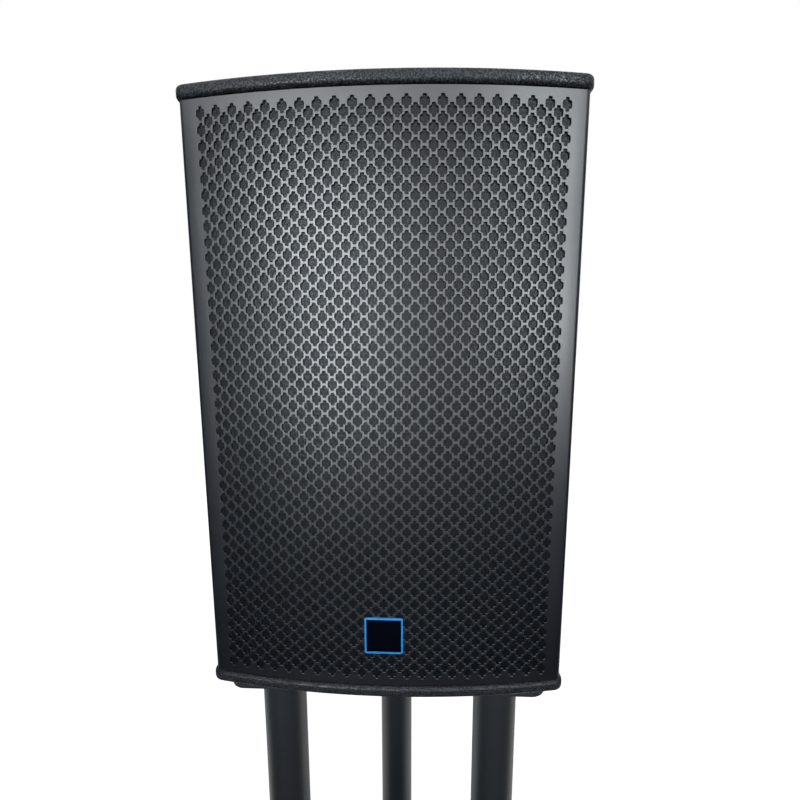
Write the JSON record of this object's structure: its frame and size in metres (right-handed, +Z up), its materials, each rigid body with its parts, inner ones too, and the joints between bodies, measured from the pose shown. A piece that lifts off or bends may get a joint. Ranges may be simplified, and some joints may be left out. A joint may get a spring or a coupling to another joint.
{
  "type": "loudspeaker on stand",
  "caption": "Full-range PA loudspeaker with a bowed perforated front grille, resting on a floor stand of round columns between a top plate and a base plate.",
  "frame": {"origin": "on the floor, at the middle of the base plate", "axes": "+Z up, -Y towards the front of the loudspeaker, +X to the right seen from the front"},
  "size_m": [0.44, 0.41, 1.3393],
  "materials": {
    "textured_paint": "textured black paint",
    "cabinet_paint": "textured black paint",
    "bare_wood": "sawn",
    "grille_coat": "satin black powder coat",
    "foam": "open-cell foam",
    "badge_plate": "gloss",
    "black_screws": "black zinc",
    "basket": "satin black",
    "gasket_rubber": "matte",
    "cone_paper": "pressed paper pulp",
    "spider_cloth": "resin-stiffened cloth",
    "coil_copper": "enamelled wire",
    "motor_steel": "zinc plated",
    "ferrite": "ground ferrite and steel",
    "black_plastic": "moulded",
    "diaphragm_film": "film",
    "circuit_board": "solder mask",
    "brass_standoffs": "turned",
    "capacitor_sleeve": "sleeve",
    "terminal_coat": "satin black",
    "foot_rubber": "matte",
    "stand_coat": "fine-texture black powder coat"
  },
  "bodies": {
    "stand": {"stand_top_plate": "stand_coat", "left_column": "stand_coat", "right_column": "stand_coat", "rear_column": "stand_coat", "top_plugs": "motor_steel", "base_plugs": "motor_steel", "top_plate_bolts": "motor_steel", "base_plate_bolts": "motor_steel", "stand_base_plate": "stand_coat", "base_feet": "foot_rubber", "base_foot_screws": "black_screws"},
    "loudspeaker": {"top_panel": "textured_paint", "bottom_panel": "textured_paint", "left_side_panel": "cabinet_paint", "right_side_panel": "cabinet_paint", "back_panel": "cabinet_paint", "front_baffle": "cabinet_paint", "grille_battens": "bare_wood", "grille": "grille_coat", "grille_foam": "foam", "grille_screws": "black_screws", "badge": "badge_plate", "woofer_frame": "basket", "woofer_gasket": "gasket_rubber", "woofer_surround": "gasket_rubber", "woofer_spider": "spider_cloth", "woofer_top_plate": "motor_steel", "woofer_magnet": "ferrite", "woofer_back_plate": "motor_steel", "woofer_screws": "black_screws", "horn": "black_plastic", "horn_screws": "black_screws", "driver_body": "ferrite", "driver_bolts": "motor_steel", "driver_cover": "black_plastic", "left_port_tube": "black_plastic", "right_port_tube": "black_plastic", "crossover_board": "circuit_board", "crossover_standoffs": "brass_standoffs", "crossover_inductors": "coil_copper", "crossover_capacitors": "capacitor_sleeve", "terminal_plate": "terminal_coat", "input_jack": "motor_steel", "link_jack": "motor_steel", "terminal_screws": "black_screws", "left_handle": "black_plastic", "right_handle": "black_plastic", "handle_screws": "black_screws", "pole_socket": "black_plastic", "pole_socket_screws": "black_screws", "cabinet_feet": "foot_rubber", "cabinet_foot_screws": "black_screws"},
    "cone_assembly": {"woofer_cone": "cone_paper", "woofer_dust_cap": "cone_paper", "woofer_voice_coil": "coil_copper"},
    "diaphragm": {"driver_diaphragm": "diaphragm_film"}
  },
  "joints": [
    {"name": "cabinet_lift", "type": "slide", "parent": "stand", "child": "loudspeaker", "axis": [0, 0, 1], "range_m": [0, 0.3]},
    {"name": "cone_travel", "type": "slide", "parent": "loudspeaker", "child": "cone_assembly", "axis": [0, -1, 0], "range_m": [-0.006, 0.006], "stiffness_N_per_m": 5000, "deforming": ["woofer_surround", "woofer_spider"]},
    {"name": "diaphragm_travel", "type": "slide", "parent": "loudspeaker", "child": "diaphragm", "axis": [0, -1, 0], "range_m": [-0.0003, 0.0003], "stiffness_N_per_m": 1000}
  ]
}
